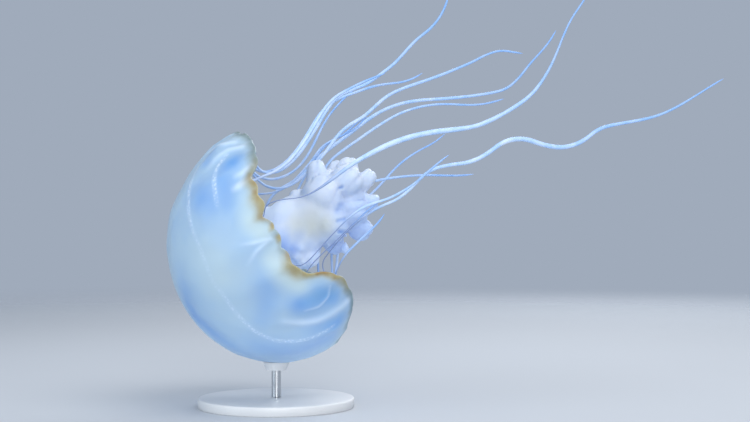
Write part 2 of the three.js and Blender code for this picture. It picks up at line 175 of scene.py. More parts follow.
VOXEL = 0.75                # remesh size of the arms
TRUNK_SIDES, TRUNK_RINGS = 96, 80
SMOOTH_TRUNK_END = 102      # depth to which the trunk stays free of frills
TRUNK_TIP = 14              # length of its round end, beyond that depth
TRUNK_SWELL = 0.24          # share by which it grows thicker, from side to side, up to there
TRUNK_SHOULDER = 4.0        # how much wider it is where the arms begin
TRUNK_FLATTENING = 0.88     # how much lower it becomes there
TRUNK_FLARE = 3             # how much wider it is against the bell's wall
# Round forms, as in ARM_LOBES, that fill the clefts where the trunk runs on into the lobes,
# and small lobes beside them.
TRUNK_FILLING = [
    [118, 0, 6, 11], [118, 0, -6, 11], [127, -1, 9, 8], [127, -1, -9, 8],
    [97, -16, 8, 6], [97, -16, -8, 6], [98, -12, 13, 9], [96, 14, 5, 8], [107, -28, 8, 3.2],
    [113, 16, 8, 9.3], [118, 9, 0, 10], [118, -9, 0, 10], [128, 3, 0, 9], [128, -6, 0, 9],
    [112, 0, 14, 9], [112, 0, -14, 9], [121, 15, 0, 8],
    [78, -14, 19, 3.8], [82, -11, 21, 3.4], [79, -19, 16, 3.8], [85, -20, 15, 6],
    [120, 24.7, 8, 3.7], [115.8, 26.2, 7, 4.3]]
FRILL_HEART = [96, 0, 0]    # place from which the frills' folds run outwards
FRILL_PITCH = 8             # about the distance between two folds
# Crinkles of the arms, those of their small lower lobes, and broad swells, as in BELL_SWELLS.
ARM_CRINKLES = [[0.3, 5.5, 11], [0.1, 2.2, 23]]
LOWER_CRINKLES = [[1.2, 4.5, 17]]
ARM_SWELLS = [[0.6, 13, 31]]
# Clefts of the arms' outline, as both ends from outside to inside in [depth, up], and their
# width; and how far they press in.
OUTLINE_CLEFTS = [
    [[125.7, 28], [120, 18], 2.6], [[145.5, 11], [137, 6.5], 2.2], [[144, -7.5], [133, -5], 2.2],
    [[137.5, -20.8], [127.5, -18.7], 2.4], [[111.8, -28], [110, -18], 2.2],
    [[91, -26], [97, -16], 2.4]]
CLEFT_PUSH = 6.5
# Small gaps between the frills of the near side, likewise, and their strength; how near a
# place lies at least, to be in one; and how deep they are.
FRILL_GAPS = [
    [[122, 6.7], [123.4, 6.4], 1, 0.65], [[113.5, -4.5], [117, -3], 2, 0.4],
    [[110.5, -10.2], [114.8, -11.6], 1.2, 0.55], [[108.2, -16.4], [112.6, -20], 1.3, 1]]
GAP_NEARNESS, GAP_DEPTH = 8, 2.0
# White, blue and dusky places of the arms' near side, and creamy ones of both sides, as
# [depth, up, half width]. The white ones are painted light where the bell shades the trunk,
# the blue ones painted bluish shade under its margin, and the dusky ones painted shade.
PAINTED_LIGHT_PLACES = [[80, 17, 7]]
PAINTED_BLUE_SHADE_PLACES = [[73, -5, 7], [77, -9, 5]]
PAINTED_SHADE_PLACES = [[76, 2, 6], [79, 12, 5], [85, -5, 5], [88, -13, 6], [90, -18, 6], [119, -4, 9],
                [129, -6, 8]]
CREAM_PLACES = [[87, -1, 11], [94, -4, 13], [101, -8, 9]]

TENTACLE_SIDES = 12
FINE_STEPS = 8              # rings of a tentacle's skin in each step of the solid
ROOT_SINK = 1.6             # how far a tentacle's skin begins inside the bell's wall
ROOT_SWELL, ROOT_SWELL_LENGTH = 0.55, 1.6
TIP_LENGTH = 5
KNOT_SIZE, RUFFLE_SIZE = 6.0, 9.0
KNOT_HEIGHT, RUFFLE_HEIGHT = 0.05, 0.08
# Tentacles that pass before the arms as thin dark threads: where along them the thread
# begins and ends, over what length its colour fades past its end, and how strong it is.
THREADS = {3: [0, 20, 20, 0.3], 4: [0, 40, 40, 0.85], 5: [0, 60, 16, 0.85],
           6: [0, 50, 16, 0.85], 7: [20, 60, 16, 0.85], 8: [30, 46, 16, 0.6]}
OTHER_THREAD = [0, 40, 16, 0.15]
THREAD_GIRTH = 0.6
THREAD_THIN_FROM = 0.5      # only a thread of a stronger colour than this is thin too
# How far before its end a thread starts to fade, how far past it the girth still grows, and
# over what length its girth and its colour come in.
THREAD_FADE, THREAD_GROWTH = 12, 14
THREAD_GIRTH_RUN, THREAD_COLOUR_RUN = 8, 6

# ---------- small helpers


def mix(a, b, t):
    return a + (b - a) * t


def ease(value, low, high):
    t = np.clip((value - low) / (high - low), 0, 1)
    return t * t * (3 - 2 * t)


def fall(value, low, high):
    """The opposite of ease: 1 up to low, and 0 from high on."""
    return 1 - ease(value, low, high)


def turn_between(a, b):
    return np.mod(a - b + 180, 360) - 180


def hump(angle, centre, width):
    return np.exp(-np.abs(turn_between(angle, centre) / width) ** 3)


def lobes_at(angle, lobes):
    """Sum of humps at some angle, from rows of [middle, half width, height]."""
    return sum(height * hump(angle, middle, width) for middle, width, height in lobes)


def along(values, share):
    """Value at some share of the way along a list of evenly spaced values."""
    return np.interp(share, np.linspace(0, 1, len(values)), values)


def rounded(line):
    """Values or points along a line, with its corners rounded."""
    for _ in range(6):
        line[1:-1] = (line[:-2] + 2 * line[1:-1] + line[2:]) / 4
    return line


def heading(rise, swing):
    rise, swing = np.radians(rise), np.radians(swing)
    return np.stack([
        np.cos(rise) * np.cos(swing),
        np.sin(swing) * np.ones_like(rise),
        np.sin(rise) * np.cos(swing)], axis=-1)


def unit(vectors):
    return vectors / np.linalg.norm(vectors, axis=-1, keepdims=True)


def noise_at(points, scale, seed=0.0):
    """Smooth noise from -1 to 1 at points in mm; scale is the size of its features in mm."""
    shift = Vector((seed, 1.7 * seed, -0.6 * seed))
    return np.array([noise.noise(Vector(p) / scale + shift) for p in points])


def unevenness(points, layers):
    return sum(height * noise_at(points, size, seed) for height, size, seed in layers)


# ---------- shape of the bell

AXIS = heading(BELL_PITCH, BELL_TURN)
UPWARD = np.array([-math.sin(math.radians(BELL_PITCH)), 0, math.cos(math.radians(BELL_PITCH))])
NEARWARD = np.cross(AXIS, UPWARD)


def from_axis(depth, up, near):
    """Point from the bell's axis: depth below the crown, distance up and towards us."""
    depth, up, near = (np.asarray(value, float)[..., None] for value in (depth, up, near))
    return CROWN + depth * AXIS + (up + BELL_LEAN * depth) * UPWARD + near * NEARWARD


def even_angle(around):
    """What "around" would be without the gathering of the margin low on the near side."""
    return around + GATHER_MOST * hump(around, GATHER_MIDDLE, GATHER_WIDTH)


def gathered(even):
    """The opposite of even_angle."""
    around = even
    for _ in range(30):
        around = even - GATHER_MOST * hump(around, GATHER_MIDDLE, GATHER_WIDTH)
    return around


def margin_between_clefts(around):
    return MARGIN_DOWN + lobes_at(around, MARGIN_LOBES)


def margin_at(around):
    """Margin as the solids have it, which sets where a tentacle springs."""
    phase = np.mod(even_angle(around), TENTACLE_PITCH) / TENTACLE_PITCH
    down = margin_between_clefts(around)
    down = down - TENTACLE_CLEFT * np.exp(-((phase - 0.5) / TENTACLE_CLEFT_WIDTH) ** 2)
    between = phase - np.round(phase)
    return down - LAPPET_CLEFT * np.exp(-(between / LAPPET_CLEFT_WIDTH) ** 2)


def lappet_margin(around):
    """Margin of the skin, with soft clefts of its own depth at each tentacle."""
    even = np.mod(even_angle(around), 360)
    depth = np.array(SKIN_CLEFTS)[(even / TENTACLE_PITCH).astype(int) % TENTACLE_COUNT]
    phase = np.mod(even, TENTACLE_PITCH) / TENTACLE_PITCH
    cleft = depth * np.exp(-np.abs((phase - 0.5) / SKIN_CLEFT_WIDTH) ** 1.6)
    between = phase - np.round(phase)
    notch = SKIN_NOTCH_SHARE * depth * np.exp(-(between / SKIN_NOTCH_WIDTH) ** 2)
    return margin_between_clefts(around) - cleft - notch + lobes_at(around, SKIN_LOBES)


def wall_thickness(down):
    share = np.maximum(0, 1 - down / MARGIN_DOWN) ** 1.2
    return mix(MARGIN_THICKNESS, CROWN_THICKNESS, share)


def bell_point(down, around, depth=0.0):
    """Point at some depth under the bell's outer skin."""
    values = (np.asarray(value, float) for value in (down, around, depth))
    down, around, depth = np.broadcast_arrays(*values)
    wave = np.cos(np.radians(even_angle(around) * TENTACLE_COUNT))
    pleat = 1 + PLEAT_HEIGHT * wave * ease(down, PLEAT_START, PLEAT_FULL)
    sine, cosine = np.sin(np.radians(down)), np.cos(np.radians(down))
    size = np.hypot(BELL_DEPTH * sine, BELL_RADIUS * cosine)
    across = BELL_RADIUS * sine * pleat - depth * BELL_DEPTH * sine / size
    deep = BELL_DEPTH * (1 - cosine) + depth * BELL_RADIUS * cosine / size
    turn = np.radians(around)
    return from_axis(deep, across * np.cos(turn), across * np.sin(turn))


def lowest_place():
    """Place of the bell's lowest point, where its outer skin is level."""
    around = 180 + math.degrees(math.atan2(NEARWARD[2], UPWARD[2]))
    side = math.hypot(UPWARD[2], NEARWARD[2]) * BELL_RADIUS
    deep = (AXIS[2] + BELL_LEAN * UPWARD[2]) * BELL_DEPTH
    return math.degrees(math.atan2(side, deep)), around


CROWN = np.zeros(3)         # until the bell's lowest point is known
CROWN = np.array([0, 0, BELL_CLEARANCE]) - bell_point(*lowest_place())

# ---------- meshes


def object_of(name, data):
    piece = bpy.data.objects.new(name, data)
    bpy.context.scene.collection.objects.link(piece)
    return piece


def marked_object(name, mesh, marks):
    """Smooth object of a mesh, with named numbers for each point."""
    mesh.polygons.foreach_set("use_smooth", [True] * len(mesh.polygons))
    for mark, values in marks.items():
        attribute = mesh.attributes.new(mark, "FLOAT", "POINT")
        attribute.data.foreach_set("value", np.asarray(values, np.float32))
    return object_of(name, mesh)


def mesh_object(name, points, faces, marks=None):
    """Object from points in mm, faces, and named numbers for each point."""
    mesh = bpy.data.meshes.new(name)
    mesh.from_pydata((np.asarray(points) * MM).tolist(), [], faces)
    mesh.update()
    return marked_object(name, mesh, marks or {})


def tube_faces(rings, sides):
    """Faces of a closed tube of rings, with its two ends fanned to the last two points."""
    faces = []
    for ring in range(rings - 1):
        for side in range(sides):
            a = ring * sides + side
            b = ring * sides + (side + 1) % sides
            faces.append((a, b, b + sides, a + sides))
    first, last = rings * sides, rings * sides + 1
    for side in range(sides):
        after = (side + 1) % sides
        faces.append((first, after, side))
        faces.append((last, (rings - 1) * sides + side, (rings - 1) * sides + after))
    return faces


def rows_of(items, name, width, kind):
    flat = np.empty(len(items) * width, kind)
    items.foreach_get(name, flat)
    return flat.reshape(-1, width)


def points_of(mesh):
    return rows_of(mesh.vertices, "co", 3, np.float32).astype(float) / MM


def normals_of(mesh):
    return rows_of(mesh.vertex_normals, "vector", 3, np.float32).astype(float)


def edges_of(mesh):
    return rows_of(mesh.edges, "vertices", 2, np.int32)


def smoothed(points, edges, rounds):
    """Points, each moved half way to the middle of its neighbours, several times over."""
    count = len(points)
    degree = np.bincount(edges.ravel(), minlength=count)[:, None]
    for _ in range(rounds):
        total = np.stack([
            np.bincount(edges[:, 0], column[edges[:, 1]], count)
            + np.bincount(edges[:, 1], column[edges[:, 0]], count)
            for column in points.T], axis=1)
        points = 0.5 * points + 0.5 * total / degree
    return points


def hollows_filled(points, mesh, edges, rounds):
    """Points moved as in smoothing, but outwards only, which fills sharp creases."""
    for _ in range(rounds):
        set_points(mesh, points)
        move = smoothed(points, edges, 1) - points
        outward = (move * normals_of(mesh)).sum(axis=1)[:, None]
        points = points + 2 * move * np.where(outward > 0, 1.0, 0.15)
    return points


def set_points(mesh, points):
    mesh.vertices.foreach_set("co", (points * MM).astype(np.float32).ravel())
    mesh.update()


# ---------- bell

# Markings of the near side, which the far side has too, turned over. A curve is a list of
# [down, around, strength] points. Apart from the beads, a row is a width in mm and a curve.

# Rows of small white beads.
BEADED_CURVES = [
    [[90, 12, 0.2], [76, 18, 0.6], [68, 25, 1], [62, 34, 1], [58, 44, 0.9], [55, 54, 0.5],
     [53, 72, 0.3], [50, 89, 0.15]],
    [[50, 89, 0.15], [52, 101, 0.4], [54, 116, 0.5], [58, 128, 0.9], [65, 138, 1],
     [74, 143, 0.9], [84, 146, 0.9], [96, 148, 0.5]],
    [[90, 33, 0.5], [84, 36, 1], [80, 41, 1], [76, 49, 0.9], [73, 58, 0.2]],
]

# Soft white folds.
WHITE_CURVES = [
    [2.2, [[97, 27, 0.7], [92, 24, 0.9], [86, 12, 0.7], [80, 4, 0]]],
    [2.4, [[99, 34, 0.8], [92, 30, 0.8], [84, 30, 0.6], [76, 33, 0]]],
    [2.0, [[98, 51, 1], [92, 52, 0.8], [86, 51, 0]]],
    [2.4, [[93, 57, 1], [87, 57, 0.9], [82, 56, 0]]],
    [1.3, [[74, 82, 0.1], [80, 85, 0.6], [88, 88, 0.6]]],
    [1.3, [[72, 92, 0.1], [79, 89, 0.6], [87, 88, 0.6]]],
    [2.8, [[75, 127, 0.5], [82, 133, 0.9], [89, 137, 0.9], [97, 139, 0.7], [108, 141, 0.8]]],
    [0.9, [[86, 127, 0.3], [93, 130, 0.6], [100, 129, 0.6], [103, 124, 0.4]]],
]

# Thin places, where the jelly is bluer, and two rows of painted shade, bluer and darker:
# one along the lower outline near the crown, and one on the lower rim.
BLUE_CURVES = [
    [7, [[84, 43, 0.5], [90, 42, 1], [95, 42, 0.7]]],
    [8, [[82, 48, 0.5], [78, 60, 0.4]]],
    [11, [[66, 38, 0.4], [68, 47, 0.6], [71, 55, 0.4]]],
    [5, [[82, 22, 0.4], [79, 26, 0.4]]],
    [8, [[87, 122, 0.8], [97, 125, 1], [104, 130, 1]]],
    [8, [[74, 106, 0.4], [69, 115, 0.4], [64, 121, 0.3]]],
    [7, [[105, 149, 0.8], [97, 148, 0.9], [90, 142, 0.3]]],
    [12, [[58, 145, 0.35], [72, 153, 0.4], [88, 155, 0.4]]],
    # painted shade along the bell's lower outline, near the crown
    [11, [[30, 66, 0.2], [20, 90, 0.6], [18, 118, 0.9], [32, 145, 0.6], [44, 154, 0.3]]],
    # painted shade on the lower rim
    [5, [[107, 134, 0.5], [109, 143, 0.9], [107, 152, 0.6]]],
]

# Thick milky places.
CREAM_CURVES = [
    [7, [[88, 66, 0.5], [84, 75, 0.9], [86, 82, 0.8]]],
    [8, [[84, 97, 0.8], [86, 105, 1], [90, 113, 0.9]]],
    [20, [[57, 78, 0.4], [58, 92, 0.55], [56, 104, 0.3]]],
]


def near_curve(places, curve, side):
    """For each place, its distance from the curve in mm, and the strength of the curve there.
    Side is 1 on the near side, and -1 on the far one."""
    share = np.linspace(0, 1, 40)
    downs, arounds, strengths = zip(*curve)
    downs, arounds = rounded(along(downs, share)), rounded(along(arounds, share))
    line = bell_point(downs, side * arounds)
    best = np.full(len(places), 1e9)
    strength = np.zeros(len(places))
    for start, end, portion in zip(line[:-1], line[1:], share):
        run = end - start
        t = np.clip((places - start) @ run / (run @ run), 0, 1)
        away = np.linalg.norm(places - start - t[:, None] * run, axis=1)
        closer = away < best
        best = np.where(closer, away, best)
        here = along(strengths, portion + t * (share[1] - share[0]))
        strength = np.where(closer, here, strength)
    return best, strength


def soft_marking(places, curves):
    """How strongly the curves of a kind mark each place, from 0 to 1."""
    total = np.zeros(len(places))
    for (width, curve), side in itertools.product(curves, (1, -1)):
        away, strength = near_curve(places, curve, side)
        total = np.maximum(total, strength * np.exp(-(away / width) ** 2))
    return total


def beaded_marking(places):
    """Distance from the nearest row of beads, and how clearly it shows there."""
    best = np.full(len(places), 50.0)
    strength = np.zeros(len(places))
    for curve, side in itertools.product(BEADED_CURVES, (1, -1)):
        away, here = near_curve(places, curve, side)
        strength = np.where(away < best, here, strength)
        best = np.minimum(best, away)
    return best, strength


def bell_rows():
    """For each row of the skin: share of the way to the margin, share of the wall's
    thickness, and how far round the rounded edge it lies, from 0 to 180."""
    outer, inner = (1 - (1 - np.linspace(0, 1, count + 1)[1:]) ** ROW_CROWDING
                    for count in (BELL_OUTER_ROWS, BELL_INNER_ROWS))
    edge = 180 * np.arange(1, BELL_EDGE_ROWS) / BELL_EDGE_ROWS
    return ([(share, 0.0, 0.0) for share in outer] + [(1.0, None, turn) for turn in edge]
            + [(share, 1.0, 180.0) for share in inner[::-1]])


def bell_grid(columns, edge):
    """Rows of "down", "around", depth in the wall, and how far inside each point lies, from
    0 to 1. The last two points are the outer and the inner pole."""
    plain = margin_between_clefts(columns)
    half = MARGIN_THICKNESS / 2
    half_turn = math.degrees(half / BELL_RADIUS)
    rows = []
    for share, wall, round_edge in bell_rows():
        limit = mix(plain, edge, ease(share, LAPPETS_BEGIN, 1))
        if wall is None:
            turn = math.radians(round_edge)
            down = limit - half_turn + half_turn * math.sin(turn)
            depth = half * (1 - math.cos(turn)) * np.ones_like(down)
        else:
            down = share * (limit - half_turn)
            depth = wall * wall_thickness(down)
        rows.append([down, columns, depth, np.full_like(columns, round_edge / 180)])
    poles = [[0, 0], [0, 0], [0, wall_thickness(0.0)], [0, 1]]
    return np.hstack(rows + [poles])


def bell_relief(points, down, around, inner):
    """Height in mm of the fine folds over the bell's plain shape."""
    swell = unevenness(points, BELL_SWELLS) * ease(down, 4, 30)
    fold = np.sin(np.radians(3 * around + 1.6 * down) * TENTACLE_COUNT / 4)
    fold = fold * ease(down, 60, 92) * (0.5 + 0.5 * noise_at(points, 30, 5.0))
    curl = np.cos(np.radians(2 * TENTACLE_COUNT * even_angle(around)))
    curl = curl * ease(down / margin_between_clefts(around), 0.86, 1)
    relief = swell + BELL_FOLD_HEIGHT * fold + BELL_CURL_HEIGHT * curl
    return relief * np.where(inner, 0.5, 1)


def flattening(down, around):
    """Depth in mm of the flat stretch along the bell's top, between two soft corners."""
    stretch = 1 - ((down - FLAT_DOWN) / FLAT_REACH) ** 2
    return FLAT_DEPTH * np.maximum(0, stretch) * hump(around, FLAT_AROUND, FLAT_WIDTH)


def band_width(around):
    """How wide the coloured band of the margin is, in mm."""
    return BAND_WIDTH + lobes_at(np.abs(turn_between(around, 0)), BAND_LOBES)


def band_faintness(around):
    """How faint and grey the band is: on one stretch of each side, but for its spots."""
    turn = np.abs(turn_between(around, 0))
    spots = np.max([hump(turn, *spot) for spot in BROWN_SPOTS], axis=0)
    return hump(turn, *FAINT_STRETCH) * (1 - spots)


def band_ripeness(around):
    """How brown the band is: grey at the lobes above and below, brown between them."""
    turn = np.abs(turn_between(around, 0))
    return ease(turn, 42, 66) * fall(turn, 122, 142) * (1 - 0.9 * band_faintness(around))


def bell_skin():
    columns = np.arange(BELL_COLUMNS) * 360 / BELL_COLUMNS
    edge = lappet_margin(columns)
    downs, arounds, depths, inside = bell_grid(columns, edge)
    surface = bell_point(downs, arounds)
    white, blue, cream = (soft_marking(surface, curves)
                          for curves in (WHITE_CURVES, BLUE_CURVES, CREAM_CURVES))
    points = bell_point(downs, arounds, depths)
    beside = downs + 1e-4       # the way outwards isn't defined at the poles themselves
    outward = unit(bell_point(beside, arounds, -1.0) - bell_point(beside, arounds, 0.0))
    inner = inside > 0.5
    relief = bell_relief(points, downs, arounds, inner) - flattening(downs, arounds)
    relief += (WHITE_RISE * white - BLUE_DIP * blue) * np.where(inner, -0.3, 1)
    points = points + outward * relief[:, None]
    bead_distance, bead_strength = beaded_marking(surface)
    rows = len(bell_rows())
    limits = np.append(np.tile(edge, rows), [MARGIN_DOWN, MARGIN_DOWN])
    marks = dict(
        from_edge=np.radians(limits - downs) * BELL_RADIUS,
        bead_distance=bead_distance,
        bead_strength=bead_strength,
        white=white,
        blue=blue,
        cream=cream,
        band_width=band_width(arounds),
        ripe=band_ripeness(arounds),
        faint=band_faintness(arounds),
        # painted glow on the bell's lower part, from 74 mm high down to 38 mm
        under=fall(points[:, 2], 38, 74),
        inside=inside)
    return mesh_object("bell_skin", points, tube_faces(rows, BELL_COLUMNS), marks)


# ---------- tentacles


def root_of(number):
    """Place of a tentacle's root, and the direction in which it leaves the margin."""
    around = gathered(TENTACLE_PITCH * (number - 0.5))
    down = margin_at(around) - 1
    wall = wall_thickness(down)
    surface = bell_point(down, around, wall)
    inward = bell_point(down, around, wall + 1) - surface
    onward = unit(bell_point(down + 1, around, wall) - surface)
    return surface + ROOT_CLEAR * inward, unit(0.6 * inward + onward)


def centre_line(number, tentacle):
    """Places, directions and shares of the length, closely spaced from root to tip."""
    start, leave = root_of(number)
    length, _, swings, rises = tentacle
    count = 2 * math.ceil(length / STEP_LENGTH / 2) * FINE_STEPS
    share = np.arange(count + 1) / count
    wanted = heading(along(rises, share), along(swings, share))
    lead = ease(share * length, 0, ROOT_RUN)[:, None]
    directions = unit(leave * (1 - lead) + wanted * lead)
    steps = np.cumsum(directions[:-1], axis=0) * length / count
    return rounded(start + np.vstack([np.zeros(3), steps])), directions, share


def tentacle_radii(number, tentacle, share):
    """Radius at each share of the length: wider at the root, tapered at the tip, and thin
    where the tentacle is a thread before the arms."""
    length, girths, *_ = tentacle
    from_root, to_tip = share * length, (1 - share) * length
    radius = along(girths, share) / 2
    begin, end, _, colouring = THREADS.get(number, OTHER_THREAD)
    if colouring > THREAD_THIN_FROM:
        thin = fall(from_root, end - THREAD_FADE, end + THREAD_GROWTH)
        thin = thin * ease(from_root, begin - THREAD_GIRTH_RUN, begin)
        radius = mix(radius, THREAD_GIRTH / 2, thin)
    radius = radius * (1 + ROOT_SWELL * np.exp(-(from_root / ROOT_SWELL_LENGTH) ** 2))
    return radius * np.sqrt(np.clip(to_tip / TIP_LENGTH, 0.04, 1))


def tentacle_skin(number, tentacle):
    places, directions, share = centre_line(number, tentacle)
    radius = tentacle_radii(number, tentacle, share)
    places = np.vstack([places[0] - directions[0] * ROOT_SINK, places])
    directions = np.vstack([directions[0], directions])
    radius, share = np.append(radius[0], radius), np.append(0, share)
    side = unit(np.array([0, 1.0, 0]) - directions * directions[:, 1:2])
    over = np.cross(directions, side)
    angles = np.radians(360 * np.arange(TENTACLE_SIDES) / TENTACLE_SIDES)[:, None]
    ring = side[:, None] * np.cos(angles) + over[:, None] * np.sin(angles)
    plain = (places[:, None] + ring * radius[:, None, None]).reshape(-1, 3)
    knots = noise_at(plain, KNOT_SIZE, number - 1)
    ruffles = noise_at(plain, RUFFLE_SIZE, number + 39)
    swell = (1 + KNOT_HEIGHT * knots + RUFFLE_HEIGHT * ruffles).reshape(len(places), -1)
    skin = places[:, None] + ring * (radius[:, None] * swell)[:, :, None]
    points = np.vstack([skin.reshape(-1, 3), places[0], places[-1]])
    share = np.append(np.repeat(share, TENTACLE_SIDES), [0, 1])
    marks = dict(
        share=share,
        knots=np.append(knots, [0, 0]),
        from_root=share * tentacle[0])
    faces = tube_faces(len(places), TENTACLE_SIDES)
    return mesh_object(f"tentacle_{number}_skin", points, faces, marks)


# ---------- manubrium and oral arms


def ball():
    """Points and faces of a small round mesh of radius 1."""
    mesh = bpy.data.meshes.new("ball")
    form = bmesh.new()
    bmesh.ops.create_icosphere(form, subdivisions=3, radius=1)
    form.to_mesh(mesh)
    form.free()
    points = points_of(mesh) * MM
    faces = [tuple(face.vertices) for face in mesh.polygons]
    bpy.data.meshes.remove(mesh)
    return points, faces


def arm_lobes():
    """Centre and radius of each lobe of the arms."""
    lobes = [lobe for rows in ARM_LOBES.values() for lobe in rows] + TRUNK_FILLING
    return [(from_axis(*lobe[:3]), lobe[3]) for lobe in lobes]


def ruffle(places):
    """Height in mm of the frills' folds, which run outwards from the trunk's end and lie
    side by side over the rim of each lobe."""
    chance = random.Random(7)
    heart = from_axis(*FRILL_HEART)
    nearest = np.full(len(places), 1e9)
    height = np.zeros(len(places))
    for centre, size in arm_lobes():
        outward = unit(centre - heart)
        across = unit(np.cross(outward, NEARWARD))
        pitch = 2 * size / round(2 * size / FRILL_PITCH) * chance.uniform(0.95, 1.05)
        shift = chance.uniform(0, 1)
        rel = places - centre
        sway = 0.12 * pitch * np.sin((rel @ NEARWARD) / 4 + 6 * shift)
        wave = np.abs(np.sin(np.pi * ((rel @ across + sway) / pitch + shift))) ** 0.6
        share = np.linalg.norm(rel, axis=1) / size
        closer = share < nearest
        nearest = np.where(closer, share, nearest)
        tip = mix(0.35, 1, ease(rel @ outward / size, 0.1, 0.8))
        height = np.where(closer, (wave - 0.6) * tip * min(2.0, 0.15 * size), height)
    return height


def trunk_points():
    """The manubrium, from inside the bell's wall, and its smooth end between the arms."""
    angles = 360 * np.arange(TRUNK_SIDES) / TRUNK_SIDES
    seat_down = 2 * CROWN_EDGE / CROWN_STEPS
    wall = wall_thickness(seat_down)
    seat = (BELL_RADIUS - wall) * math.sin(math.radians(seat_down))
    seat_depth = BELL_DEPTH * (1 - math.cos(math.radians(seat_down))) + wall
    rings = []
    for depth in np.linspace(seat_depth - 4, SMOOTH_TRUNK_END + TRUNK_TIP, TRUNK_RINGS):
        share = (depth - seat_depth) / (TRUNK_END - seat_depth)
        radius = mix(seat, TRUNK_END_RADIUS, min(share, 1))
        radius += TRUNK_FLARE * math.exp(-max(share, 0) / 0.05)
        radius += TRUNK_SHOULDER * math.exp(-((depth - TRUNK_END) / 9) ** 2)
        past = max(0, depth - SMOOTH_TRUNK_END) / (TRUNK_TIP + 0.5)
        radius *= math.sqrt(max(0.02, 1 - past ** 2))
        corner = TRUNK_CORNERS * mix(min(max(share, 0), 1), -0.7, ease(depth, 70, 84))
        width = radius * (1 + corner * np.cos(np.radians(4 * angles)))
        swell = 1 + TRUNK_SWELL * ease(depth, TRUNK_END - 4, SMOOTH_TRUNK_END + 6)
        up = width * np.cos(np.radians(angles)) * TRUNK_FLATTENING ** ease(depth, 60, 84)
        rings.append(from_axis(depth, up, width * np.sin(np.radians(angles)) * swell))
    ends = [ring.mean(axis=0) for ring in (rings[0], rings[-1])]
    return np.vstack(rings + [ends]), tube_faces(TRUNK_RINGS, TRUNK_SIDES)


def remeshed(name, points, faces):
    """A new mesh round everything that the given one encloses."""
    rough = mesh_object(name + "_rough", points, faces)
    remesh = rough.modifiers.new("remesh", "REMESH")
    remesh.mode = "VOXEL"
    remesh.voxel_size = VOXEL * MM
    remesh.use_smooth_shade = True
    shaped = rough.evaluated_get(bpy.context.evaluated_depsgraph_get())
    mesh = bpy.data.meshes.new_from_object(shaped)
    bpy.data.objects.remove(rough)
    return mesh


def spots_on(flat, spots):
    """How strongly any of the spots covers each place, from 0 to 1."""
    total = np.zeros(len(flat))
    for middle, up, half in spots:
        away = np.linalg.norm(flat - [middle, up], axis=1) / half
        total = np.maximum(total, np.exp(-away ** 2))
    return total


def along_line(flat, start, end, width):
    """How near to a line each place lies, from 0 to 1, and its share of the way along it."""
    run = np.subtract(end, start)
    share = np.clip((flat - start) @ run / (run @ run), 0, 1)
    away = np.linalg.norm(flat - start - share[:, None] * run, axis=1) / width
    return np.exp(-away ** 2), share


def gaps_on(flat):
    """How deep in any of the gaps each place lies, from 0 to 1."""
    return np.max([strength * along_line(flat, *gap)[0] for *gap, strength in FRILL_GAPS], axis=0)


def clefts_cut(places, flat):
    """Places with the clefts of the outline pressed in."""
    for start, end, width in OUTLINE_CLEFTS:
        inward = unit(np.subtract(end, start).astype(float))
        closeness, share = along_line(flat, start, end, width)
        push = CLEFT_PUSH * closeness * (1 - share)
        places = places + np.outer(push * inward[0], AXIS) + np.outer(push * inward[1], UPWARD)
    return places


def seen_from_axis(places):
    """The opposite of from_axis: depth below the crown, distance up and towards us."""
    rel = places - CROWN
    depth = rel @ AXIS
    return depth, rel @ UPWARD - BELL_LEAN * depth, rel @ NEARWARD


def joined_arms():
    """One closed mesh round the trunk and all lobes of the arms."""
    points, faces = trunk_points()
    ball_points, ball_faces = ball()
    for centre, size in arm_lobes():
        start = len(points)
        points = np.vstack([points, centre + ball_points * size])
        faces += [tuple(start + corner for corner in face) for face in ball_faces]
    return remeshed("arms", points, faces)


def softened_arms(mesh, edges):
    """Places of the arms' skin with the creases near the middle filled, the trunk calmed,
    and the clefts of the outline cut."""
    places = smoothed(points_of(mesh), edges, 3)
    _, up, _ = seen_from_axis(places)
    filled = hollows_filled(places, mesh, edges, 14)
    places = mix(places, filled, fall(np.abs(up), 13, 20)[:, None])
    depth, _, _ = seen_from_axis(places)
    calm = fall(depth, 82, 93) * ease(up, -12, -4)
    places = mix(places, smoothed(places, edges, 50), calm[:, None])
    depth, up, _ = seen_from_axis(places)
    return smoothed(clefts_cut(places, np.column_stack([depth, up])), edges, 4)


def frill_relief(places, edges):
    """Height in mm of the folds, crinkles and swells of the arms."""
    depth, up, _ = seen_from_axis(places)
    frilled = np.maximum(ease(depth, 110, 124), ease(np.abs(up), 16, 23) * ease(depth, 78, 92))
    crinkled = fall(up, -15, -9) * fall(depth, 88, 98)
    folds = smoothed((ruffle(places) * frilled)[:, None], edges, 1)[:, 0]
    crinkle = unevenness(places, ARM_CRINKLES) + crinkled * unevenness(places, LOWER_CRINKLES)
    return folds + crinkle * mix(0.3, 1, frilled) + unevenness(places, ARM_SWELLS)


